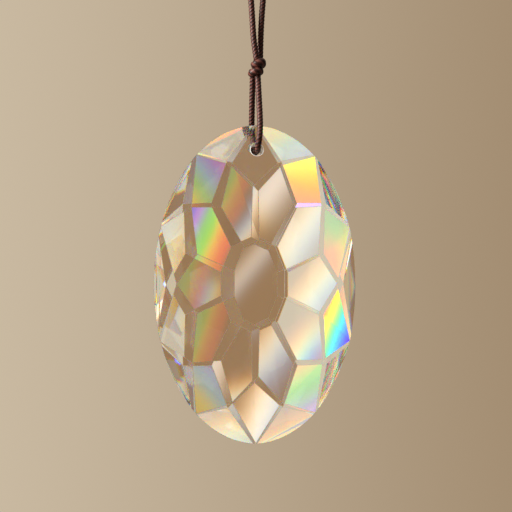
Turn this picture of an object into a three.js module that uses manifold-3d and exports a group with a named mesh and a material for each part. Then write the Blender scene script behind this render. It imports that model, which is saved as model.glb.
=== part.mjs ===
// A crystal sun catcher: a clear oval prism cut with facets on both sides, hung on a dark waxed cord. The cord goes
// through the hole near the crystal's top, is knotted above it and ends in a hanging loop.
// Millimetres, +Z up, and the front faces -Y. The origin is the point inside the hanging loop where a hook holds it.
import * as THREE from 'three';
import { mergeVertices } from 'three/addons/utils/BufferGeometryUtils.js';
import Module from 'manifold-3d';

const wasm = await Module();
wasm.setup();

// Crystal
const crystalHeight = 76;
const crystalWidth = 48.6;
const crystalThickness = 20;
const girdleThickness = 3.4;
const girdleSteps = 120;
const tableHeight = 20.4;
const tableWidth = 12.3;
const backTableHeight = 19.4;
const backTableWidth = 11.7;

// Cut of the crystal, for one quarter of a side, from the top to the middle of the right edge. An angle is that of an
// ellipse, and reach is the share of its radius. Corners stand on the table's ellipse, tips and ends on the girdle's.
const tableCorners = [
  { angle: 90, reach: 1 },
  { angle: 55, reach: 1.035 },
  { angle: 17, reach: 1 },
];
const ringTips = [
  { angle: 71.8, reach: 0.777 },
  { angle: 37.4, reach: 0.797 },
  { angle: 0, reach: 0.784 },
];
const kiteEnds = [
  { angle: 90, reach: 1 },
  { angle: 54.2, reach: 1 },
  { angle: 20.6, reach: 1 },
];
// How high the tips stand between the girdle and the table
const tipRise = 0.405;

// Hole for the cord
const holeDiameter = 3;
const holeBelowTop = 6.1;
const holeChamfer = 0.3;
const holeSides = 32;

// Cord
const cordDiameter = 1.5;
const cordSides = 8;
const cordGap = 0.45;
const loopSteps = 32;
// How far the hole's middle lies above the middle of the cord that carries the crystal
const holeAboveCord = 0.2;

// Knot
const knotWidth = 4.5;
const knotDepth = 4.2;
const knotTilt = 32;
// How far the turns lie to the right of the crystal's middle, and how closely they lie together
const knotMiddle = 0.5;
const turnSpacing = 0.95;
const knotSides = 12;
const knotSteps = 28;

// Where the cord runs below the knot: down in front, through the hole and up behind
const lowerRoute = [
  [0.59, -0.8, -41],
  [0.65, -1.65, -44],
  [0.72, -2.49, -47],
  [0.78, -3.34, -50],
  [0.76, -4.04, -52.5],
  [0.64, -4.55, -54.3],
  [0.5, -4.75, -55.3],
  [0.37, -4.47, -56.57],
  [0.27, -3.68, -57.6],
  [0.18, -2.53, -58.2],
  [0.08, -1.2, -58.3],
  [0, 0, -58.3],
  [-0.06, 1.2, -58.3],
  [-0.14, 2.53, -58.2],
  [-0.22, 3.68, -57.6],
  [-0.3, 4.47, -56.57],
  [-0.36, 4.75, -55.3],
  [-0.43, 4.55, -54.3],
  [-0.5, 4.04, -52.5],
  [-0.53, 3.34, -50],
  [-0.55, 2.49, -47],
  [-0.56, 1.65, -44],
  [-0.57, 0.8, -41],
];

// Where the cord runs above the knot: up on the left, over the hook and down on the right
const hangingRoute = [
  [0.1, -0.7, -34.9],
  [-0.13, -0.65, -33.4],
  [-0.4, -0.55, -31.2],
  [-0.62, -0.4, -28.2],
  [-0.8, -0.25, -25],
  [-1, -0.12, -21.8],
  [-1.32, 0, -18],
  [-1.75, 0, -14],
  [-2.25, 0, -9.8],
  [-2.7, 0, -5.8],
  [-2.85, 0, -2.9],
  [-2.35, 0, -0.75],
  [-1.1, 0, 0.5],
  [0.4, 0, 0.9],
  [1.9, 0, 0.5],
  [3.15, 0, -0.75],
  [3.65, 0, -2.9],
  [3.5, 0, -5.8],
  [3.05, 0, -9.8],
  [2.6, 0, -14],
  [2.2, 0, -18],
  [1.86, 0.12, -21.8],
  [1.62, 0.25, -25],
  [1.45, 0.4, -28.2],
  [1.35, 0.55, -31.2],
  [1.3, 0.65, -33.4],
  [1.28, 0.7, -34.9],
];

// Materials
const crystalGlass = new THREE.MeshStandardMaterial({ color: 0xe9eef0, roughness: 0.03, metalness: 0 });
const waxedCord = new THREE.MeshStandardMaterial({ color: 0x3a1c15, roughness: 0.55, metalness: 0 });

// Solids
function toSolid(geometry) {
  const bare = geometry.clone();
  bare.deleteAttribute('normal');
  bare.deleteAttribute('uv');
  const merged = mergeVertices(bare, 1e-4);
  const vertProperties = new Float32Array(merged.attributes.position.array);
  const triVerts = new Uint32Array(merged.index.array);
  return new wasm.Manifold(new wasm.Mesh({ numProp: 3, vertProperties, triVerts }));
}

function toGeometry(solid) {
  const mesh = solid.getMesh();
  const geometry = new THREE.BufferGeometry();
  geometry.setAttribute('position', new THREE.BufferAttribute(mesh.vertProperties, 3));
  geometry.setIndex(new THREE.BufferAttribute(mesh.triVerts, 1));
  geometry.computeVertexNormals();
  return geometry;
}

function named(name, geometry, material) {
  const mesh = new THREE.Mesh(geometry, material);
  mesh.name = name;
  return mesh;
}

// Facets
const crownHeight = (crystalThickness - girdleThickness) / 2;
const tipHeight = girdleThickness / 2 + tipRise * crownHeight;

// Mirrors a quarter's marks to go clockwise round the whole side from the top
function allRound(quarter) {
  const lower = quarter.filter((mark) => mark.angle > 0).map((mark) => ({ ...mark, angle: -mark.angle }));
  const right = [...quarter, ...lower.reverse()];
  const left = right.filter((mark) => Math.abs(mark.angle) < 90).map((mark) => ({ ...mark, angle: 180 - mark.angle }));
  return [...right, ...left.reverse()];
}

// A mark's place on a side whose height stands along +Z, with the oval's width along X and its height along Y
function placeMark(mark, width, height, level) {
  const angle = THREE.MathUtils.degToRad(mark.angle);
  const x = (width / 2) * mark.reach * Math.cos(angle);
  const y = (height / 2) * mark.reach * Math.sin(angle);
  return new THREE.Vector3(x, y, level);
}

function facetPlane(a, b, c) {
  const plane = new THREE.Plane().setFromCoplanarPoints(a, b, c);
  if (plane.normal.z < 0) {
    plane.negate();
  }
  return plane;
}

// The table, a ring of facets round it, a ring of kites and a ring of rim facets
function sidePlanes(width, height) {
  const table = crystalThickness / 2;
  const corners = allRound(tableCorners).map((mark) => placeMark(mark, width, height, table));
  const tips = allRound(ringTips).map((mark) => placeMark(mark, crystalWidth, crystalHeight, tipHeight));
  const ends = allRound(kiteEnds).map((mark) => placeMark(mark, crystalWidth, crystalHeight, girdleThickness / 2));
  const planes = [new THREE.Plane(new THREE.Vector3(0, 0, 1), -table)];
  tips.forEach((tip, i) => {
    const next = (i + 1) % tips.length;
    const before = (i + tips.length - 1) % tips.length;
    planes.push(facetPlane(corners[i], corners[next], tip));
    planes.push(facetPlane(tips[before], tip, ends[i]));
    planes.push(facetPlane(ends[i], ends[next], tip));
  });
  return planes;
}

// A block that fills the space beyond a plane, over the whole crystal
function beyond(plane) {
  const size = 3 * (crystalHeight + crystalWidth + crystalThickness);
  const block = new THREE.BoxGeometry(size, size, size);
  block.translate(0, 0, size / 2);
  const turn = new THREE.Quaternion().setFromUnitVectors(new THREE.Vector3(0, 0, 1), plane.normal);
  block.applyQuaternion(turn);
  const foot = plane.normal.clone().multiplyScalar(-plane.constant);
  block.translate(foot.x, foot.y, foot.z);
  return toSolid(block);
}

function ovalBlank() {
  const outline = new THREE.Shape();
  outline.absellipse(0, 0, crystalWidth / 2, crystalHeight / 2, 0, 2 * Math.PI, false, 0);
  const blank = new THREE.ExtrudeGeometry(outline, {
    depth: crystalThickness + 2,
    curveSegments: girdleSteps / 2,
    bevelEnabled: false,
  });
  blank.translate(0, 0, -crystalThickness / 2 - 1);
  return toSolid(blank);
}

// The hole runs straight through, with a chamfer square to the facet that each mouth opens in
function holeCutters(frontPlanes) {
  const holeRadius = holeDiameter / 2;
  const holeUp = crystalHeight / 2 - holeBelowTop;
  const bore = new THREE.CylinderGeometry(holeRadius, holeRadius, 2 * crystalThickness, holeSides);
  bore.rotateX(Math.PI / 2);
  bore.translate(0, holeUp, 0);
  const cutters = [toSolid(bore)];
  const mouthHeight = (plane) => (-plane.constant - plane.normal.y * holeUp) / plane.normal.z;
  const facet = frontPlanes.reduce((low, plane) => (mouthHeight(plane) < mouthHeight(low) ? plane : low));
  const wide = holeRadius + 2 * holeChamfer;
  const deep = holeRadius - holeChamfer;
  for (const side of [1, -1]) {
    const cone = new THREE.CylinderGeometry(wide, deep, wide - deep, holeSides);
    cone.rotateX(Math.PI / 2);
    cone.translate(0, 0, (wide - deep) / 2 - 2 * holeChamfer);
    cone.applyQuaternion(new THREE.Quaternion().setFromUnitVectors(new THREE.Vector3(0, 0, 1), facet.normal));
    cone.translate(0, holeUp, mouthHeight(facet));
    if (side < 0) {
      cone.rotateY(Math.PI);
    }
    cutters.push(toSolid(cone));
  }
  return cutters;
}

function cutCrystal() {
  const frontPlanes = sidePlanes(tableWidth, tableHeight);
  const backPlanes = sidePlanes(backTableWidth, backTableHeight);
  const turned = backPlanes.map((plane) => {
    const normal = new THREE.Vector3(plane.normal.x, plane.normal.y, -plane.normal.z);
    return new THREE.Plane(normal, plane.constant);
  });
  let solid = ovalBlank();
  for (const plane of [...frontPlanes, ...turned]) {
    solid = solid.subtract(beyond(plane));
  }
  for (const cutter of holeCutters(frontPlanes)) {
    solid = solid.subtract(cutter);
  }
  const geometry = toGeometry(solid);
  // Stands the oval upright with its front towards -Y
  geometry.rotateX(Math.PI / 2);
  return geometry;
}

// Cords
function cordCurve(route) {
  return new THREE.CatmullRomCurve3(route.map((point) => new THREE.Vector3(...point)));
}

function cordTube(route) {
  const radius = cordDiameter / 2;
  const section = new THREE.Shape();
  for (let i = 0; i < cordSides; i += 1) {
    const angle = (2 * Math.PI * i) / cordSides;
    const place = [radius * Math.cos(angle), radius * Math.sin(angle)];
    if (i === 0) {
      section.moveTo(...place);
    } else {
      section.lineTo(...place);
    }
  }
  section.closePath();
  return new THREE.ExtrudeGeometry(section, { steps: loopSteps, extrudePath: cordCurve(route), bevelEnabled: false });
}

// Two turns of cord, tilted and side by side, round a core that leans from the lower strands to the upper ones
function knotGeometry(lowerEnds, upperEnds) {
  const turnRadius = cordDiameter / 2;
  const ringX = knotWidth / 2 - turnRadius;
  const ringY = knotDepth / 2 - turnRadius;
  const tilt = THREE.MathUtils.degToRad(knotTilt);
  const bottom = Math.max(...lowerEnds.map((end) => end[2])) + cordGap;
  const top = Math.min(...upperEnds.map((end) => end[2])) - cordGap;
  const middle = (bottom + top) / 2;

  const turns = [-1, 1].map((side) => {
    const turn = new THREE.TorusGeometry(1, turnRadius, knotSides, knotSteps);
    const place = turn.attributes.position;
    for (let i = 0; i < place.count; i += 1) {
      const angle = Math.atan2(place.getY(i), place.getX(i));
      const out = Math.hypot(place.getX(i), place.getY(i)) - 1;
      place.setXY(i, (ringX + out) * Math.cos(angle), (ringY + out) * Math.sin(angle));
    }
    turn.translate(0, 0, side * turnRadius * turnSpacing);
    turn.rotateY(-tilt);
    turn.translate(knotMiddle, 0, middle);
    return toSolid(turn);
  });

  const middleX = (ends) => ends.reduce((sum, end) => sum + end[0], 0) / ends.length;
  const halfX = (ends) => Math.max(...ends.map((end) => Math.abs(end[0] - middleX(ends)))) + turnRadius;
  const halfY = (ends) => Math.max(...ends.map((end) => Math.abs(end[1]))) + turnRadius;
  const core = new THREE.CylinderGeometry(1, 1, 1, knotSteps);
  core.rotateX(Math.PI / 2);
  const place = core.attributes.position;
  for (let i = 0; i < place.count; i += 1) {
    const upper = place.getZ(i) > 0;
    const ends = upper ? upperEnds : lowerEnds;
    const x = middleX(ends) + halfX(ends) * place.getX(i);
    const y = halfY(ends) * place.getY(i);
    place.setXYZ(i, x, y, upper ? top : bottom);
  }
  return toGeometry(turns[0].add(turns[1]).add(toSolid(core)));
}

// The object
const crystal = named('crystal', cutCrystal(), crystalGlass);
const cordLow = Math.min(...lowerRoute.map((point) => point[2]));
const holeHeight = cordLow + holeAboveCord;
crystal.position.z = holeHeight - (crystalHeight / 2 - holeBelowTop);

const lowerLoop = named('lower_loop', cordTube(lowerRoute), waxedCord);
const hangingLoop = named('hanging_loop', cordTube(hangingRoute), waxedCord);

const lowerEnds = [lowerRoute[0], lowerRoute.at(-1)];
const upperEnds = [hangingRoute[0], hangingRoute.at(-1)];
const knot = named('knot', knotGeometry(lowerEnds, upperEnds), waxedCord);

const sunCatcher = new THREE.Group();
sunCatcher.add(crystal, lowerLoop, knot, hangingLoop);

export default sunCatcher;
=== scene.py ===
import math

import bmesh
import bpy
from mathutils import Matrix, Vector


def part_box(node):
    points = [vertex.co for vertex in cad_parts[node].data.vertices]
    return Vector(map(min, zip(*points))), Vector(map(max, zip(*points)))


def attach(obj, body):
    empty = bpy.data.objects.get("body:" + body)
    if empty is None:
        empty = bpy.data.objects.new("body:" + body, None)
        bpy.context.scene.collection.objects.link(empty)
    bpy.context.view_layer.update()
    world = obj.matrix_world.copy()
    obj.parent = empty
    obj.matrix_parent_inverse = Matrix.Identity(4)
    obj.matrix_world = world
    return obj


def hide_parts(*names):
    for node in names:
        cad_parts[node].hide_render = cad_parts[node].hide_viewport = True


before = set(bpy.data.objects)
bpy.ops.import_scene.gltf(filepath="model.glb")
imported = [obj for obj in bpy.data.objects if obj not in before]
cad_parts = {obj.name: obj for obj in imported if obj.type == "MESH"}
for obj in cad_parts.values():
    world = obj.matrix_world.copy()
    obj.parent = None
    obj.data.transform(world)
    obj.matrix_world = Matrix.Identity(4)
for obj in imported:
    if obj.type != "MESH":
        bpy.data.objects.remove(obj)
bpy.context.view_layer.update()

MM = 0.001

# The crystal's sizes come from the frame
crystal_low, crystal_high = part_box("crystal")
CRYSTAL_MIDDLE = (crystal_low + crystal_high) / 2
CRYSTAL_WIDTH = crystal_high.x - crystal_low.x
CRYSTAL_HEIGHT = crystal_high.z - crystal_low.z
CRYSTAL_THICKNESS = crystal_high.y - crystal_low.y

# Its cut, the same as in the part's source: the width and height of each table, and marks for a quarter of a
# side, from its top to the middle of its right edge. A mark is an ellipse's angle and a share of its radius
GIRDLE_THICKNESS = 3.4 * MM
FRONT_TABLE = (12.3 * MM, 20.4 * MM)
BACK_TABLE = (11.7 * MM, 19.4 * MM)
TABLE_CORNERS = ((90, 1), (55, 1.035), (17, 1))
RING_TIPS = ((71.8, 0.777), (37.4, 0.797), (0, 0.784))
KITE_ENDS = ((90, 1), (54.2, 1), (20.6, 1))
TIP_RISE = 0.405

# Its hole, with a finer chamfer than in the part's source
HOLE_RADIUS = 1.5 * MM
HOLE_BELOW_TOP = 6.1 * MM
HOLE_CHAMFER = 0.16 * MM

# The cord, laid up from strands that make one full turn in each length of lay
CORD_RADIUS = 0.75 * MM
CORD_STRANDS = 3
CORD_LAY = 2.6 * MM
CORD_SIDES = 30
CORD_STEP = 0.16 * MM
CURVE_STEPS = 24

# Where a strand's middle lies, how thick the strand is, and how far in the wax lets a groove reach, as shares
# of the cord's radius
STRAND_MIDDLE = 0.42
STRAND_RADIUS = 0.58
WAXED_GROOVE = 0.905

# The knot: two turns that lie side by side, tilted up to the right, round the strands that pass through
KNOT_MIDDLE = (0.5 * MM, 0, -37.95 * MM)
KNOT_TILT = 15
KNOT_STEPS = 72

# Each turn: how far it stands along the tilted axis and to the right, its half width and half depth, its
# radius, and how much thicker it is at its right end than in its middle
KNOT_TURNS = (
    (0.98 * MM, 0.33 * MM, 0.80 * MM, 0.95 * MM, 1.17 * MM, 0.19),
    (-0.82 * MM, -0.58 * MM, 0.92 * MM, 0.95 * MM, 1.06 * MM, -0.02),
)

# How far each free stretch of cord is carried into the knot, and how far off the knot's middle a strand
# passes, as a share of the gap that the knot fills
INTO_KNOT = 1.1 * MM
STRAND_SHIFT = 0.1

# The cord's route below and above the knot, in millimetres, through the same points as in the part's source
LOWER_ROUTE = (
    (0.59, -0.8, -41),
    (0.65, -1.65, -44),
    (0.72, -2.49, -47),
    (0.78, -3.34, -50),
    (0.76, -4.04, -52.5),
    (0.64, -4.55, -54.3),
    (0.5, -4.75, -55.3),
    (0.37, -4.47, -56.57),
    (0.27, -3.68, -57.6),
    (0.18, -2.53, -58.2),
    (0.08, -1.2, -58.3),
    (0, 0, -58.3),
    (-0.06, 1.2, -58.3),
    (-0.14, 2.53, -58.2),
    (-0.22, 3.68, -57.6),
    (-0.3, 4.47, -56.57),
    (-0.36, 4.75, -55.3),
    (-0.43, 4.55, -54.3),
    (-0.5, 4.04, -52.5),
    (-0.53, 3.34, -50),
    (-0.55, 2.49, -47),
    (-0.56, 1.65, -44),
    (-0.57, 0.8, -41),
)
HANGING_ROUTE = (
    (0.1, -0.7, -34.9),
    (-0.13, -0.65, -33.4),
    (-0.4, -0.55, -31.2),
    (-0.62, -0.4, -28.2),
    (-0.8, -0.25, -25),
    (-1, -0.12, -21.8),
    (-1.32, 0, -18),
    (-1.75, 0, -14),
    (-2.25, 0, -9.8),
    (-2.7, 0, -5.8),
    (-2.85, 0, -2.9),
    (-2.35, 0, -0.75),
    (-1.1, 0, 0.5),
    (0.4, 0, 0.9),
    (1.9, 0, 0.5),
    (3.15, 0, -0.75),
    (3.65, 0, -2.9),
    (3.5, 0, -5.8),
    (3.05, 0, -9.8),
    (2.6, 0, -14),
    (2.2, 0, -18),
    (1.86, 0.12, -21.8),
    (1.62, 0.25, -25),
    (1.45, 0.4, -28.2),
    (1.35, 0.55, -31.2),
    (1.3, 0.65, -33.4),
    (1.28, 0.7, -34.9),
)

# Making the crystal. An edge is one between faces that turn by more degrees than the girdle's steps do
HOLE_SIDES = 48
GIRDLE_SIDES = 240
EDGE_TURN = 4
EDGE_WIDTH = 0.13 * MM
BLANK_SPARE = 2 * MM
MERGE_WITHIN = 0.01 * MM
GIRDLE_SLANT = 1e-4

# The crystal's material slots after the clear one
EDGE_SLOT = 1
BORE_SLOT = 2

# Clear crystal: each colour of light bends by its own amount
CRYSTAL_INDEX = 1.55
CRYSTAL_COLOURS = (
    ((0.60, 0.00, 0.00), 1.524),
    ((0.40, 0.35, 0.00), 1.537),
    ((0.00, 0.50, 0.05), 1.550),
    ((0.00, 0.15, 0.50), 1.563),
    ((0.00, 0.00, 0.45), 1.576),
)

# The waxed cord's colours, from its grooves to its crowns. The darkest end is painted shade in the grooves
# between the strands
CORD_COLOURS_AND_GROOVE_SHADE = (
    (0.0, (0.005, 0.0008, 0.0006)),
    (0.45, (0.036, 0.0085, 0.006)),
    (1.0, (0.20, 0.066, 0.05)),
)

# Studio. Turns are degrees to the right of straight back from the crystal, and rises are degrees above level.
# What stands behind it stands before it too, so that it looks alike from the front and the back. The light
# that comes through it is pale, and warmer and darker between these turns and within this rise
PALE = (0.66, 0.58, 0.44)
WARM = (0.33, 0.195, 0.095)
DARK = (0.13, 0.07, 0.035)
SHADE_LEFT = (-10, -5)
SHADE_RIGHT = (40, 48)
SHADE_ENDS = (19, 24)
LAMP_COLOUR = (1.0, 0.95, 0.86)

# Beyond an oval of this turn and this rise that light comes from a blurred room, given here from its darkest
# parts to its brightest
FAR_TURN = 60
FAR_RISE = 40
FAR_EDGES = (0.95, 1.15)
FAR_BLUR = 0.07
FAR_COLOURS = (
    (0.36, DARK),
    (0.44, WARM),
    (0.53, PALE),
    (0.62, (1.4, 1.33, 1.2)),
)

# What the camera sees behind it
BACKDROP_LEFT = (0.62, 0.52, 0.385)
BACKDROP_RIGHT = (0.34, 0.24, 0.145)
BACKDROP_EDGES = (-0.26, 0.44)

# The dim room that all else stands in, what glossy faces mirror, and a large lamp above both
ROOM = (0.04, 0.034, 0.028)
MIRRORED = (0.22, 0.195, 0.155)
TOP_LAMP = (1.3, 1.22, 1.1)
TOP_LAMP_EDGE = (0.6, 0.98)

# Two soft lamps, the key for the cord and the ring for the hole's rim. Places are from the crystal's middle
SOFT_LAMP_SIZE = (0.6, 0.9)
SOFT_LAMP_COLOUR = (1.0, 0.94, 0.88)
KEY_POWER = 40
KEY_PLACE = (-1.0, -0.2, 0.42)
RING_POWER = 60
RING_PLACE = (0.7, -0.9, 0.6)

FLOOR_LEVEL = -1.1
FLOOR_RADIUS = 2.4
FLOOR_SIDES = 64
FLOOR_FADE = (0.9, 2.35)
FLOOR_DARKER = (0.82, 0.75, 0.64)
FLOOR_PALER = (0.86, 0.80, 0.69)

# A rainbow strip's colours, from one long side to the other
RAINBOW = (
    (-1.0, (0.0, 0.0, 0.0)),
    (-0.72, (0.85, 0.06, 0.02)),
    (-0.42, (1.0, 0.42, 0.02)),
    (-0.18, (1.0, 0.90, 0.06)),
    (0.10, (0.14, 0.90, 0.22)),
    (0.36, (0.02, 0.62, 0.95)),
    (0.62, (0.16, 0.18, 1.0)),
    (0.80, (0.50, 0.08, 0.80)),
    (1.0, (0.0, 0.0, 0.0)),
)

# Soft lamps out of sight: turn, rise, lean, half width and half length in degrees, and power. A lamp that
# leans to the right lights the facet that looks its way with a slanting band
LAMPS = (
    (5.4, 1.4, 40, 0.5, 4, 0.3),
    (-12.6, -4.8, 35, 0.7, 3, 0.4),
    (-16, 0.5, 40, 0.7, 3, 0.45),
    (-12.5, 5.8, 40, 0.6, 3, 0.55),
    (-0.2, -10.4, 35, 0.9, 2, 0.6),
    (-0.4, 13, 35, 0.9, 2, 0.55),
    (6, 17, 25, 0.9, 3, 0.8),
    (12.4, -12.6, 35, 0.5, 2, 0.4),
    (11.6, 10.9, 70, 0.6, 2, 0.5),
    (30.3, -0.2, 25, 0.5, 1, 0.25),
    (-29.3, 6, 20, 0.4, 3, 3),
    (-28.4, -5, 30, 0.6, 3, 0.4),
    (18, 1, 20, 0.8, 5, 0.6),
    (5.7, -11, 25, 0.5, 3, 0.6),
    (17, 14, 25, 0.8, 3, 0.5),
    (26, -29, 60, 0.8, 3, 0.6),
    (27, 31, 60, 1, 3, 0.5),
    (-11.5, 29, 60, 1, 3, 0.5),
    (-50, 0, 10, 3, 12, 1),
    (50, -14, 10, 3, 8, 1),
)

# Dark flags between them, the same way, with how much of the light each takes
FLAGS = (
    (-28.7, 6, 0, 3, 3, 1),
    (-28.5, -5, 0, 2, 2, 0.35),
    (-12.6, -15, 90, 2, 2, 0.7),
    (-12.6, 15.7, 60, 2, 2, 0.3),
    (-14.2, 0, 20, 0.5, 12, 0.6),
    (27, -30, 60, 0.4, 2, 0.6),
    (9, 4, 20, 0.6, 6, 0.5),
    (20, 0, 10, 1, 12, 0.4),
    (-44, 0, 5, 2, 8, 0.8),
)

# Rainbow strips, such as a second crystal throws, the same way
RAINBOWS = (
    (25.4, -5.2, -155, 1.5, 4, 0.6),
    (-12.6, -13, -90, 5, 2.2, 1.1),
    (-13.2, 16.6, 60, 2.6, 3, 0.5),
    (25, 6.8, -155, 1.2, 4, 0.2),
    (11.3, -10.2, -155, 1.2, 4, 0.2),
    (28.7, 0.5, -160, 1.2, 4, 0.15),
    (25.5, -15.5, -45, 2.2, 3, 0.35),
    (25.9, 16, -37, 3, 3, 0.3),
    (-28.5, -5.3, -60, 2.3, 3, 0.4),
    (-11.2, -27.5, 60, 3, 3, 0.3),
)

# The photograph: 512 pixels square, with the crystal 316.5 of them tall
PHOTO_SIDE = 512
CRYSTAL_TALL = 316.5
CRYSTAL_AT = (255.3, 284.0)
CAMERA_TURN = -5.63
CAMERA_RISE = -0.55
CAMERA_DISTANCE = 300 * MM
SENSOR_WIDTH = 36
NEAREST_SEEN = 10 * MM

# How often light may bounce, which glass needs many of
BOUNCES = 24


# Camera


def make_camera():
    """A camera at the photograph's angle, a little to the left of the crystal and level with it."""
    turn, rise = math.radians(CAMERA_TURN), math.radians(CAMERA_RISE)
    back = Vector((math.sin(turn) * math.cos(rise), -math.cos(turn) * math.cos(rise), math.sin(rise)))
    right = Vector((math.cos(turn), math.sin(turn), 0))
    up = right.cross(-back)
    pixel = CRYSTAL_HEIGHT / CRYSTAL_TALL
    across = (PHOTO_SIDE / 2 - CRYSTAL_AT[0]) * pixel
    above = (CRYSTAL_AT[1] - PHOTO_SIDE / 2) * pixel
    aim = right * across + up * above - back * CAMERA_DISTANCE
    data = bpy.data.cameras.new("camera")
    data.sensor_width = SENSOR_WIDTH
    data.lens = data.sensor_width * CAMERA_DISTANCE / (PHOTO_SIDE * pixel)
    data.clip_start = NEAREST_SEEN
    camera = bpy.data.objects.new("camera", data)
    camera.location = CRYSTAL_MIDDLE + back * CAMERA_DISTANCE
    camera.rotation_euler = aim.to_track_quat("-Z", "Y").to_euler()
    bpy.context.scene.collection.objects.link(camera)
    bpy.context.scene.camera = camera


# Cords


def smooth_line(points, spacing):
    """Points close together on a centripetal Catmull-Rom curve, worked out as in the part's source."""
    points = [Vector(p) for p in points]
    points = [2 * points[0] - points[1], *points, 2 * points[-1] - points[-2]]
    fine = []
    for a, b, c, d in zip(points, points[1:], points[2:], points[3:]):
        knots = [0]
        for p, q in ((a, b), (b, c), (c, d)):
            knots.append(knots[-1] + max((q - p).length, 1e-9) ** 0.5)
        for i in range(CURVE_STEPS):
            t = knots[1] + (knots[2] - knots[1]) * i / CURVE_STEPS
            ab = a.lerp(b, (t - knots[0]) / (knots[1] - knots[0]))
            bc = b.lerp(c, (t - knots[1]) / (knots[2] - knots[1]))
            cd = c.lerp(d, (t - knots[2]) / (knots[3] - knots[2]))
            abc = ab.lerp(bc, (t - knots[0]) / (knots[2] - knots[0]))
            bcd = bc.lerp(cd, (t - knots[1]) / (knots[3] - knots[1]))
            fine.append(abc.lerp(bcd, (t - knots[1]) / (knots[2] - knots[1])))
    fine.append(points[-2])
    return even_line(fine, spacing)


def line_length(line):
    return sum((q - p).length for p, q in zip(line, line[1:]))


def even_line(line, spacing):
    """The same line with its points one spacing apart."""
    steps = max(2, round(line_length(line) / spacing))
    step = line_length(line) / steps
    even, walked, want = [line[0]], 0.0, step
    for p, q in zip(line, line[1:]):
        length = (q - p).length
        while len(even) < steps and walked + length >= want:
            even.append(p.lerp(q, (want - walked) / length))
            want += step
        walked += length
    even.append(line[-1])
    return even


def line_frames(line, closed=False):
    """A direction and two directions across for each point of a line, with no needless twist."""
    count = len(line)
    tangents = []
    for i in range(count):
        before = line[(i - 1) % count] if closed or i else line[0]
        after = line[(i + 1) % count] if closed or i < count - 1 else line[-1]
        tangents.append((after - before).normalized())
    side = tangents[0].orthogonal().normalized()
    frames = []
    for tangent in tangents:
        side = (side - tangent * side.dot(tangent)).normalized()
        frames.append((tangent, side, tangent.cross(side)))
    return frames


def strand_radius(angle, radius):
    """The outline of a cord laid up from strands: round lobes with grooves that the wax has half filled."""
    lobe = math.pi / CORD_STRANDS
    off = abs((angle + lobe) % (2 * lobe) - lobe)
    middle, strand = STRAND_MIDDLE * radius, STRAND_RADIUS * radius
    reach = middle * math.cos(off) + math.sqrt(strand**2 - (middle * math.sin(off)) ** 2)
    return max(reach, WAXED_GROOVE * radius)


def cord_mesh(name, line, radii, closed=False):
    """A tube of twisted cord along a line, with a UV map that runs round it and along it."""
    length = line_length(line)
    if closed:
        length += (line[0] - line[-1]).length
    # A closed turn holds a whole number of strands, so that its twist meets itself
    lay = length * CORD_STRANDS / round(length * CORD_STRANDS / CORD_LAY) if closed else CORD_LAY
    shape = bmesh.new()
    uv = shape.loops.layers.uv.new("cord")
    rings, walked = [], 0.0
    for i, (point, (_, across, over)) in enumerate(zip(line, line_frames(line, closed))):
        if i:
            walked += (point - line[i - 1]).length
        ring = []
        for j in range(CORD_SIDES):
            angle = 2 * math.pi * j / CORD_SIDES
            reach = strand_radius(angle - 2 * math.pi * walked / lay, radii[i])
            ring.append(shape.verts.new(point + reach * (math.cos(angle) * across + math.sin(angle) * over)))
        rings.append((ring, walked))
    if closed:
        rings.append((rings[0][0], length))
    for (ring, low), (after, high) in zip(rings, rings[1:]):
        for j in range(CORD_SIDES):
            k = (j + 1) % CORD_SIDES
            face = shape.faces.new((ring[j], ring[k], after[k], after[j]))
            face.smooth = True
            marks = ((j, low), (j + 1, low), (j + 1, high), (j, high))
            for loop, (around, along_it) in zip(face.loops, marks):
                loop[uv].uv = (around / CORD_SIDES, along_it / lay)
    if not closed:
        shape.faces.new(list(reversed(rings[0][0])))
        shape.faces.new(rings[-1][0])
    bmesh.ops.recalc_face_normals(shape, faces=shape.faces)
    mesh = bpy.data.meshes.new(name)
    shape.to_mesh(mesh)
    shape.free()
    piece = bpy.data.objects.new(name, mesh)
    bpy.context.scene.collection.objects.link(piece)
    return piece


def run_on(line, reach):
    """The same line with both its ends carried straight on."""
    first = line[0] + (line[0] - line[1]).normalized() * reach
    last = line[-1] + (line[-1] - line[-2]).normalized() * reach
    return [first, *line, last]


def make_knot(waxed_cord):
    """Two turns of cord pulled tight, and the two strands that pass through them."""
    tilt = Matrix.Rotation(-math.radians(KNOT_TILT), 3, "Y")
    middle = Vector(KNOT_MIDDLE)
    parts = []
    for i, (level, shift, wide, deep, radius, swell) in enumerate(KNOT_TURNS):
        turn, radii = [], []
        for step in range(KNOT_STEPS):
            angle = 2 * math.pi * step / KNOT_STEPS
            place = Vector((wide * math.cos(angle) + shift, deep * math.sin(angle), level))
            turn.append(middle + tilt @ place)
            radii.append(radius * (1 + swell * math.cos(angle)))
        parts.append(cord_mesh(f"turn_{i}", turn, radii, closed=True))
    gaps = ((LOWER_ROUTE[0], HANGING_ROUTE[-1]), (LOWER_ROUTE[-1], HANGING_ROUTE[0]))
    for i, (low, high) in enumerate(gaps):
        low, high = Vector(low), Vector(high)
        between = middle + (low - high) * STRAND_SHIFT * MM
        strand = smooth_line([low * MM, between, high * MM], CORD_STEP)
        parts.append(cord_mesh(f"strand_{i}", strand, [CORD_RADIUS] * len(strand)))
    select_none()
    for part in parts:
        part.select_set(True)
    bpy.context.view_layer.objects.active = parts[0]
    bpy.ops.object.join()
    knot = bpy.context.object
    knot.name = knot.data.name = "cord_knot"
    knot.data.materials.append(waxed_cord)
    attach(knot, "root")
    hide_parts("knot")
    return knot


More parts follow.
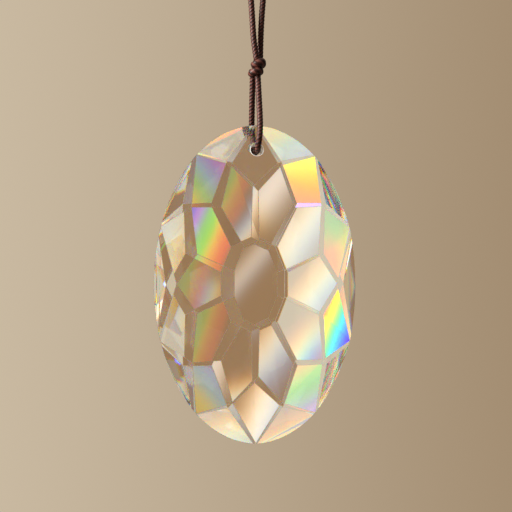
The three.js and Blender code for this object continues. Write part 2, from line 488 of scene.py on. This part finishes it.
def make_cord(name, node, route, waxed_cord):
    """One free stretch of the cord, which comes out of the knot and goes back into it."""
    line = smooth_line([Vector(p) * MM for p in route], CORD_STEP)
    line = even_line(run_on(line, INTO_KNOT), CORD_STEP)
    piece = cord_mesh(name, line, [CORD_RADIUS] * len(line))
    piece.data.materials.append(waxed_cord)
    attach(piece, "root")
    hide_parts(node)
    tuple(line[0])
    line_length(line)
    return piece


# Materials


class Wire:
    """A node's output, for writing a material's arithmetic as Python expressions."""

    def __init__(self, tree, socket):
        self.tree = tree
        self.socket = socket

    def maths(self, operation, *values):
        return add_node(self.tree, "ShaderNodeMath", {"operation": operation}, dict(enumerate(values)))

    def __add__(self, other):
        return self.maths("ADD", self, other)

    def __radd__(self, other):
        return self.maths("ADD", other, self)

    def __sub__(self, other):
        return self.maths("SUBTRACT", self, other)

    def __rsub__(self, other):
        return self.maths("SUBTRACT", other, self)

    def __mul__(self, other):
        return self.maths("MULTIPLY", self, other)

    def __rmul__(self, other):
        return self.maths("MULTIPLY", other, self)

    def __truediv__(self, other):
        return self.maths("DIVIDE", self, other)

    def __rtruediv__(self, other):
        return self.maths("DIVIDE", other, self)

    def __pow__(self, other):
        return self.maths("POWER", self, other)

    def __rpow__(self, other):
        return self.maths("POWER", other, self)


def add_node(tree, kind, settings=None, inputs=None, output=0):
    """Any node: its settings first, then the value or link of each socket. Gives one of its outputs."""
    node = tree.nodes.new(kind)
    for name, value in (settings or {}).items():
        if name == "stops":
            ramp = node.color_ramp
            while len(ramp.elements) < len(value):
                ramp.elements.new(1)
            for element, (place, colour) in zip(ramp.elements, value):
                element.position = place
                element.color = (*colour, 1)
        else:
            setattr(node, name, value)
    for key, value in (inputs or {}).items():
        if isinstance(value, Wire):
            tree.links.new(value.socket, node.inputs[key])
        elif hasattr(value, "__len__") and node.inputs[key].type == "RGBA":
            node.inputs[key].default_value = (*value, 1)
        else:
            node.inputs[key].default_value = value
    return Wire(tree, node.outputs[output])


def multiply_add(value, factor, more):
    return value.maths("MULTIPLY_ADD", value, factor, more)


def split_vector(vector):
    return [add_node(vector.tree, "ShaderNodeSeparateXYZ", {}, {0: vector}, part) for part in range(3)]


def blend_colours(tree, share, below, above, kind="MIX"):
    """A Mix node. Its colour sockets come after those for numbers and vectors."""
    settings = {"data_type": "RGBA", "blend_type": kind}
    return add_node(tree, "ShaderNodeMix", settings, {0: share, 6: below, 7: above}, 2)


def add_colours(tree, one, other):
    return blend_colours(tree, 1.0, one, other, "ADD")


def scale_colour(tree, colour, factor):
    return add_node(tree, "ShaderNodeVectorMath", {"operation": "SCALE"}, {0: colour, "Scale": factor})


def smooth_step(value, low, high, bottom=0.0, top=1.0):
    inputs = {0: value, 1: low, 2: high, 3: bottom, 4: top}
    return add_node(value.tree, "ShaderNodeMapRange", {"interpolation_type": "SMOOTHSTEP"}, inputs)


def new_material(name, surface):
    material = bpy.data.materials.new(name)
    material.use_nodes = True
    tree = material.node_tree
    tree.nodes.clear()
    out = tree.nodes.new("ShaderNodeOutputMaterial")
    tree.links.new(surface(tree).socket, out.inputs["Surface"])
    return material


def cut_crystal_surface(tree):
    """Clear lead crystal. A ray splits into its colours where it enters the glass, and all leave it alike."""
    colours = None
    for colour, index in CRYSTAL_COLOURS:
        one = add_node(tree, "ShaderNodeBsdfGlass", {}, {"Color": colour, "Roughness": 0.0, "IOR": index})
        colours = add_node(tree, "ShaderNodeAddShader", {}, {0: colours, 1: one}) if colours else one
    leaving = {"Color": (1, 1, 1), "Roughness": 0.0, "IOR": CRYSTAL_INDEX}
    inside = add_node(tree, "ShaderNodeBsdfGlass", {}, leaving)
    back = add_node(tree, "ShaderNodeNewGeometry", output="Backfacing")
    return add_node(tree, "ShaderNodeMixShader", {}, {0: back, 1: colours, 2: inside})


def polished_edge_surface(tree):
    """The narrow flats between facets, which come off the wheel less clear than the facets."""
    place = add_node(tree, "ShaderNodeTexCoord", output="Object")
    grain = add_node(tree, "ShaderNodeTexNoise", {}, {"Vector": place, "Scale": 3000, "Detail": 2})
    inputs = {
        "Base Color": (1, 1, 1),
        "Roughness": smooth_step(grain, 0.3, 0.7, 0.25, 0.5),
        "IOR": CRYSTAL_INDEX,
        "Transmission Weight": 1.0,
    }
    return add_node(tree, "ShaderNodeBsdfPrincipled", {}, inputs)


def ground_bore_surface(tree):
    """The drilled wall of the hole: ground white, with fine scratches left by the drill."""
    place = add_node(tree, "ShaderNodeTexCoord", output="Object")
    grain = add_node(tree, "ShaderNodeTexNoise", {}, {"Vector": place, "Scale": 9000, "Detail": 3})
    bump = add_node(tree, "ShaderNodeBump", {}, {"Strength": 0.4, "Distance": 0.02 * MM, "Height": grain})
    inputs = {
        "Base Color": blend_colours(tree, grain, (0.93, 0.93, 0.93), (1, 1, 1)),
        "Roughness": smooth_step(grain, 0.3, 0.7, 0.35, 0.6),
        "IOR": CRYSTAL_INDEX,
        "Transmission Weight": 0.6,
        "Normal": bump,
    }
    return add_node(tree, "ShaderNodeBsdfPrincipled", {}, inputs)


def waxed_cord_surface(tree):
    """Dark brown waxed cord. Its map runs round it and along it, one turn of the strands to each unit."""
    around, along, _ = split_vector(add_node(tree, "ShaderNodeUVMap", {"uv_map": "cord"}))
    strand = (around - along) * CORD_STRANDS
    groove = strand.maths("PINGPONG", strand, 0.5)
    # Painted shade: the colour is darker in the grooves between the strands than on their crowns
    crown_vs_groove_shade = smooth_step(groove, 0.05, 0.45)
    lengthwise = along * 2.2 + around * 3
    fibre_place = add_node(tree, "ShaderNodeCombineXYZ", {}, {0: strand * 9, 1: lengthwise, 2: 0.0})
    fibres = add_node(tree, "ShaderNodeTexNoise", {}, {"Vector": fibre_place, "Scale": 1.4, "Detail": 3})
    spot = add_node(tree, "ShaderNodeTexCoord", output="Object")
    wear = add_node(tree, "ShaderNodeTexNoise", {}, {"Vector": spot, "Scale": 700, "Detail": 2})
    # The fibres' grain and random wear, with painted shade in the grooves
    tone_and_groove_shade = crown_vs_groove_shade * 0.55 + fibres * 0.95 + wear * 0.5 - 0.52
    height = fibres + wear * 0.6
    bump = add_node(tree, "ShaderNodeBump", {}, {"Strength": 0.7, "Distance": 0.08 * MM, "Height": height})
    inputs = {
        "Base Color": add_node(tree, "ShaderNodeValToRGB", {"stops": CORD_COLOURS_AND_GROOVE_SHADE}, {0: tone_and_groove_shade}),
        "Roughness": smooth_step(fibres, 0.3, 0.7, 0.38, 0.58),
        "Specular IOR Level": 0.15,
        "Coat Weight": 0.15,
        "Coat Roughness": 0.3,
        "Normal": bump,
    }
    return add_node(tree, "ShaderNodeBsdfPrincipled", {}, inputs)


def pale_floor_surface(tree):
    """Matt pale floor, clear towards its rim."""
    place = add_node(tree, "ShaderNodeTexCoord", output="Object")
    grain = add_node(tree, "ShaderNodeTexNoise", {}, {"Vector": place, "Scale": 3, "Detail": 4})
    colour = blend_colours(tree, grain, FLOOR_DARKER, FLOOR_PALER)
    matt = add_node(tree, "ShaderNodeBsdfPrincipled", {}, {"Base Color": colour, "Roughness": 0.7})
    out = add_node(tree, "ShaderNodeVectorMath", {"operation": "LENGTH"}, {0: place}, "Value")
    fade = smooth_step(out, *FLOOR_FADE)
    clear = add_node(tree, "ShaderNodeBsdfTransparent")
    return add_node(tree, "ShaderNodeMixShader", {}, {0: fade, 1: matt, 2: clear})


# Crystal


def all_round(quarter):
    """Mirrors a quarter's marks to go clockwise round the whole side from the top."""
    lower = [(-angle, reach) for angle, reach in reversed(quarter) if angle > 0]
    right = [*quarter, *lower]
    left = [(180 - angle, reach) for angle, reach in reversed(right) if abs(angle) < 90]
    return right + left


def place_mark(mark, width, height, level):
    angle, reach = math.radians(mark[0]), mark[1]
    return Vector((width / 2 * reach * math.cos(angle), level, height / 2 * reach * math.sin(angle)))


def facet_plane(a, b, c, facing):
    """A point on the facet's plane and its normal, facing outwards."""
    normal = (b - a).cross(c - a).normalized()
    return a + CRYSTAL_MIDDLE, normal if normal.y * facing > 0 else -normal


def side_planes(width, height, facing):
    """The planes of one side: the table, the facets round it, the kites and the rim facets."""
    table = facing * CRYSTAL_THICKNESS / 2
    girdle = facing * GIRDLE_THICKNESS / 2
    tip_level = girdle + TIP_RISE * (table - girdle)
    corners = [place_mark(mark, width, height, table) for mark in all_round(TABLE_CORNERS)]
    tips = [place_mark(mark, CRYSTAL_WIDTH, CRYSTAL_HEIGHT, tip_level) for mark in all_round(RING_TIPS)]
    ends = [place_mark(mark, CRYSTAL_WIDTH, CRYSTAL_HEIGHT, girdle) for mark in all_round(KITE_ENDS)]
    planes = [(Vector((0, table, 0)) + CRYSTAL_MIDDLE, Vector((0, facing, 0)))]
    for i, tip in enumerate(tips):
        after = (i + 1) % len(tips)
        planes.append(facet_plane(corners[i], corners[after], tip, facing))
        planes.append(facet_plane(tips[i - 1], tip, ends[i], facing))
        planes.append(facet_plane(ends[i], ends[after], tip, facing))
    return planes


def select_none():
    bpy.ops.object.select_all(action="DESELECT")


def use_alone(piece):
    select_none()
    piece.select_set(True)
    bpy.context.view_layer.objects.active = piece


def settle(piece):
    """Puts the piece's place, turn and size into its mesh."""
    use_alone(piece)
    bpy.ops.object.transform_apply(location=True, rotation=True, scale=True)


def start_piece(name, primitive, **sizes):
    select_none()
    primitive(**sizes)
    piece = bpy.context.object
    piece.name = name
    piece.data.name = name
    return piece


def cut_away(piece, cutter):
    use_alone(piece)
    cut = piece.modifiers.new("cut", "BOOLEAN")
    cut.operation = "DIFFERENCE"
    cut.solver = "EXACT"
    cut.material_mode = "TRANSFER"
    cut.object = cutter
    bpy.ops.object.modifier_apply(modifier=cut.name)
    bpy.data.objects.remove(cutter)


def drill_hole(crystal, front_planes, ground_bore):
    """Drills the cord's hole, with a chamfer square to the facet that each mouth opens in."""
    hole_z = crystal_high.z - HOLE_BELOW_TOP
    drill = start_piece(
        "drill",
        bpy.ops.mesh.primitive_cylinder_add,
        vertices=HOLE_SIDES,
        radius=HOLE_RADIUS,
        depth=2 * CRYSTAL_THICKNESS,
        location=(0, CRYSTAL_MIDDLE.y, hole_z),
        rotation=(math.pi / 2, 0, 0),
    )
    settle(drill)
    drill.data.materials.append(ground_bore)
    cut_away(crystal, drill)

    def mouth_level(plane):
        point, normal = plane
        return point.y - (normal.x * -point.x + normal.z * (hole_z - point.z)) / normal.y

    facet = max(front_planes, key=mouth_level)
    wide, deep = HOLE_RADIUS + 2 * HOLE_CHAMFER, HOLE_RADIUS - HOLE_CHAMFER
    for facing in (1, -1):
        normal = Vector((0, -facing * facet[1].y, facet[1].z))
        middle = Vector((0, -facing * mouth_level(facet), hole_z))
        middle += normal * ((wide - deep) / 2 - 2 * HOLE_CHAMFER)
        cone = start_piece(
            "countersink",
            bpy.ops.mesh.primitive_cone_add,
            vertices=HOLE_SIDES,
            radius1=deep,
            radius2=wide,
            depth=wide - deep,
            location=middle,
            rotation=Vector((0, 0, 1)).rotation_difference(normal).to_euler(),
        )
        settle(cone)
        cone.data.materials.append(ground_bore)
        cut_away(crystal, cone)


def make_crystal(clear_crystal, polished_edge, ground_bore):
    """An oval blank cut by one plane for each facet, its edges taken off finely, then drilled."""
    crystal = start_piece(
        "cut_crystal",
        bpy.ops.mesh.primitive_cylinder_add,
        vertices=GIRDLE_SIDES,
        radius=1,
        depth=CRYSTAL_THICKNESS + BLANK_SPARE,
        location=CRYSTAL_MIDDLE,
        rotation=(math.pi / 2, 0, 0),
    )
    crystal.scale = (CRYSTAL_WIDTH / 2, CRYSTAL_HEIGHT / 2, 1)
    settle(crystal)
    crystal.data.materials.append(clear_crystal)
    crystal.data.materials.append(polished_edge)
    front_planes = side_planes(*FRONT_TABLE, -1)
    bpy.ops.object.mode_set(mode="EDIT")
    for point, normal in front_planes + side_planes(*BACK_TABLE, 1):
        bpy.ops.mesh.select_all(action="SELECT")
        bpy.ops.mesh.bisect(plane_co=point, plane_no=normal, use_fill=True, clear_outer=True)
    bpy.ops.mesh.select_all(action="SELECT")
    bpy.ops.mesh.remove_doubles(threshold=MERGE_WITHIN)
    bpy.ops.mesh.dissolve_degenerate(threshold=MERGE_WITHIN)
    bpy.ops.mesh.select_all(action="DESELECT")
    bpy.ops.mesh.select_mode(type="EDGE")
    bpy.ops.mesh.edges_select_sharp(sharpness=math.radians(EDGE_TURN))
    bpy.ops.mesh.bevel(
        offset=EDGE_WIDTH / 2,
        offset_type="OFFSET",
        segments=1,
        affect="EDGES",
        clamp_overlap=True,
    )
    bpy.ops.object.mode_set(mode="OBJECT")
    for face in crystal.data.polygons:
        marks = [crystal.data.vertices[i].co for i in face.vertices]
        longest = max((a - b).length for a, b in zip(marks, marks[1:] + marks[:1]))
        if face.area < 2 * EDGE_WIDTH * longest:
            face.material_index = EDGE_SLOT
    drill_hole(crystal, front_planes, ground_bore)
    for face in crystal.data.polygons:
        face.use_smooth = abs(face.normal.y) < GIRDLE_SLANT or face.material_index == BORE_SLOT
    return crystal


# Light


def oblongs(turn, rise, table):
    """For each row of a table, how far across and along it a direction lies, in half widths and lengths."""
    for turned, raised, lean, wide, long, power in table:
        squeeze = math.cos(math.radians(raised))
        c, s = math.cos(math.radians(lean)), math.sin(math.radians(lean))
        start_across = (raised * s - turned * squeeze * c) / wide
        start_along = (-raised * c - turned * squeeze * s) / long
        across = multiply_add(turn, squeeze * c / wide, multiply_add(rise, -s / wide, start_across))
        along = multiply_add(turn, squeeze * s / long, multiply_add(rise, c / long, start_along))
        yield across, along, power


def soft_patches(turn, rise, table):
    """The sum of soft-edged oblongs."""
    total = 0.0
    for across, along, power in oblongs(turn, rise, table):
        square = along * along
        far = multiply_add(across, across, square * square)
        total = multiply_add(math.exp(-1) ** far, power, total)
    return total


def rainbow_patches(turn, rise, table):
    """The sum of oblongs that run through the rainbow from side to side."""
    stops = [((place + 1) / 2, colour) for place, colour in RAINBOW]
    tree = turn.tree
    total = None
    for across, along, power in oblongs(turn, rise, table):
        square = along * along
        far = square * square
        glow = math.exp(-1) ** far * power
        place = multiply_add(across, 0.5, 0.5)
        colour = add_node(tree, "ShaderNodeValToRGB", {"stops": stops}, {0: place})
        strip = scale_colour(tree, colour, glow)
        total = add_colours(tree, total, strip) if total else strip
    return total


def make_studio():
    """Light from all round. To the eye it is a plain backdrop, paler on the left. Through the crystal come
    soft lamps, dark flags and rainbow strips that stand out of sight, and a blurred room beyond them. Its
    facets mirror an even grey, all else stands in a dim room, and both have a large soft lamp above."""
    world = bpy.data.worlds.new("studio")
    bpy.context.scene.world = world
    world.use_nodes = True
    tree = world.node_tree
    tree.nodes.clear()
    x, y, z = split_vector(add_node(tree, "ShaderNodeTexCoord", output="Generated"))
    whole_turn = x.maths("ARCTAN2", x, y) * math.degrees(1)
    turn = whole_turn.maths("WRAP", whole_turn, 90, -90)
    rise = z.maths("ARCSINE", z) * math.degrees(1)
    steep = rise.maths("ABSOLUTE", rise)

    shade = smooth_step(turn, *SHADE_LEFT) * smooth_step(turn, *SHADE_RIGHT, 1, 0)
    base = blend_colours(tree, shade * smooth_step(steep, *SHADE_ENDS, 1, 0), PALE, WARM)
    flags = soft_patches(turn, rise, FLAGS)
    flagged = blend_colours(tree, flags.maths("MINIMUM", flags, 1), base, DARK)
    lamps = soft_patches(turn, rise, LAMPS)
    bent = add_colours(tree, flagged, scale_colour(tree, LAMP_COLOUR, lamps))
    spot = add_node(tree, "ShaderNodeCombineXYZ", {}, {0: turn, 1: rise, 2: 0.0})
    blur = add_node(tree, "ShaderNodeTexNoise", {}, {"Vector": spot, "Scale": FAR_BLUR, "Detail": 1})
    far_light = add_node(tree, "ShaderNodeValToRGB", {"stops": FAR_COLOURS}, {0: blur})
    far = smooth_step((turn / FAR_TURN) ** 2 + (rise / FAR_RISE) ** 2, *FAR_EDGES)
    bent = blend_colours(tree, far, bent, far_light)
    bent = add_colours(tree, bent, rainbow_patches(turn, rise, RAINBOWS))

    mirrored = add_node(tree, "ShaderNodeLightPath", output="Is Glossy Ray")
    room = blend_colours(tree, mirrored, ROOM, MIRRORED)
    room = blend_colours(tree, smooth_step(z, *TOP_LAMP_EDGE), room, TOP_LAMP)
    backdrop = blend_colours(tree, smooth_step(x, *BACKDROP_EDGES), BACKDROP_LEFT, BACKDROP_RIGHT)
    seen = add_node(tree, "ShaderNodeLightPath", output="Is Camera Ray")
    through = add_node(tree, "ShaderNodeLightPath", output="Is Transmission Ray")
    colour = blend_colours(tree, seen, blend_colours(tree, through, room, bent), backdrop)
    light = add_node(tree, "ShaderNodeBackground", {}, {"Color": colour, "Strength": 1.0})
    out = tree.nodes.new("ShaderNodeOutputWorld")
    tree.links.new(light.socket, out.inputs["Surface"])


def make_soft_lamp(name, place, power, lit_pieces):
    """A large soft lamp that lights only the given pieces."""
    data = bpy.data.lights.new(name, "AREA")
    data.shape = "RECTANGLE"
    data.size, data.size_y = SOFT_LAMP_SIZE
    data.energy = power
    data.color = SOFT_LAMP_COLOUR
    lamp = bpy.data.objects.new(name, data)
    lamp.location = CRYSTAL_MIDDLE + Vector(place)
    lamp.rotation_euler = (-Vector(place)).to_track_quat("-Z", "Y").to_euler()
    bpy.context.scene.collection.objects.link(lamp)
    lit = bpy.data.collections.new(name + " lights")
    for piece in lit_pieces:
        lit.objects.link(piece)
    lamp.light_linking.receiver_collection = lit
    return lamp


def make_floor():
    """A pale round floor well below, which fades into the backdrop at its rim."""
    floor = start_piece(
        "floor",
        bpy.ops.mesh.primitive_circle_add,
        vertices=FLOOR_SIDES,
        radius=FLOOR_RADIUS,
        fill_type="NGON",
        location=(0, 0, FLOOR_LEVEL),
    )
    settle(floor)
    floor.data.materials.append(new_material("pale floor", pale_floor_surface))


make_camera()
make_studio()
make_floor()

clear_crystal = new_material("cut crystal", cut_crystal_surface)
polished_edge = new_material("polished edge", polished_edge_surface)
ground_bore = new_material("ground bore", ground_bore_surface)
waxed_cord = new_material("waxed cord", waxed_cord_surface)

knot = make_knot(waxed_cord)
lower_cord = make_cord("lower_cord", "lower_loop", LOWER_ROUTE, waxed_cord)
hanging_cord = make_cord("hanging_cord", "hanging_loop", HANGING_ROUTE, waxed_cord)
make_soft_lamp("key", KEY_PLACE, KEY_POWER, [knot, lower_cord, hanging_cord])

crystal = make_crystal(clear_crystal, polished_edge, ground_bore)
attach(crystal, "root")
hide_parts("crystal")

# This lamp shows only on the ground glass of the hole, since no facet mirrors or bends it
ring_lamp = make_soft_lamp("ring", RING_PLACE, RING_POWER, [crystal])
ring_lamp.visible_glossy = False
ring_lamp.visible_transmission = False

cycles = bpy.context.scene.cycles
cycles.max_bounces = BOUNCES
cycles.transmission_bounces = BOUNCES
bpy.context.scene.view_settings.view_transform = "Standard"
